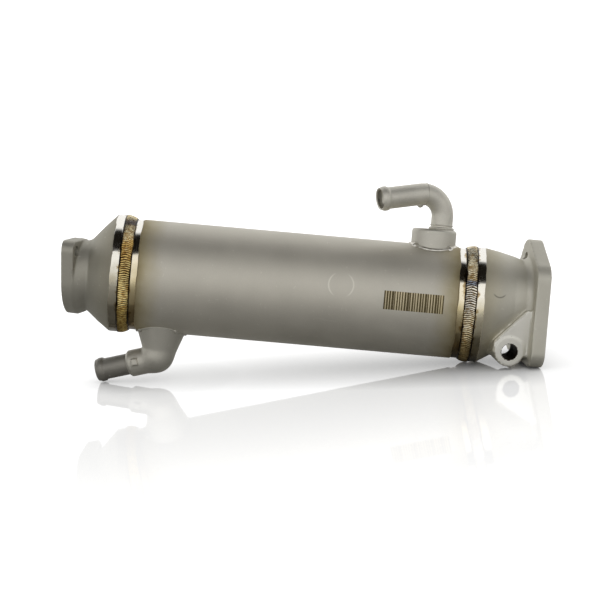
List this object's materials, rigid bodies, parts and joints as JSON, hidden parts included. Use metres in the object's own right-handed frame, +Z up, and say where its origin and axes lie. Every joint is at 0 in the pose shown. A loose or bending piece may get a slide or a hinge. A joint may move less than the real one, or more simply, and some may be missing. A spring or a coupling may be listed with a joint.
{
  "type": "egr cooler",
  "caption": "Shell-and-tube exhaust gas cooler: round shell welded between flanged cast gas housings, with a bent coolant pipe on top and a coolant elbow with a hose nipple below.",
  "frame": {"origin": "middle of the bounding box, at the floor that the cooler lies on", "axes": "+X along the shell towards the gas outlet, level with the floor; +Y away from the side with the bolt ear; +Z up. The shell itself slopes 8 degrees down towards +X and leans 10 degrees, as the cooler rests on its lower nipple and outlet flange"},
  "size_m": [0.3864, 0.0946, 0.1459],
  "materials": {
    "drawn_stainless": "blasted satin stainless",
    "cast_stainless": "blasted casting, matt",
    "weld_metal": "rippled weld with straw heat tint",
    "nickel_braze": "smooth braze",
    "bundle_stainless": "plain tube and plate"
  },
  "bodies": {
    "root": {"shell": "drawn_stainless", "coolant_outlet_cup": "drawn_stainless", "coolant_outlet_pipe": "drawn_stainless", "coolant_inlet_nipple": "drawn_stainless", "inlet_housing": "cast_stainless", "outlet_housing": "cast_stainless", "coolant_inlet_elbow": "cast_stainless", "inlet_weld": "weld_metal", "outlet_weld": "weld_metal", "cup_braze": "nickel_braze", "pipe_braze": "nickel_braze", "inlet_tube_sheet": "bundle_stainless", "outlet_tube_sheet": "bundle_stainless", "baffle_1": "bundle_stainless", "baffle_2": "bundle_stainless", "gas_tube_01": "bundle_stainless", "gas_tube_02": "bundle_stainless", "gas_tube_03": "bundle_stainless", "gas_tube_04": "bundle_stainless", "gas_tube_05": "bundle_stainless", "gas_tube_06": "bundle_stainless", "gas_tube_07": "bundle_stainless", "gas_tube_08": "bundle_stainless", "gas_tube_09": "bundle_stainless", "gas_tube_10": "bundle_stainless", "gas_tube_11": "bundle_stainless", "gas_tube_12": "bundle_stainless", "gas_tube_13": "bundle_stainless", "gas_tube_14": "bundle_stainless", "gas_tube_15": "bundle_stainless", "gas_tube_16": "bundle_stainless", "gas_tube_17": "bundle_stainless", "gas_tube_18": "bundle_stainless", "gas_tube_19": "bundle_stainless"}
  },
  "joints": []
}
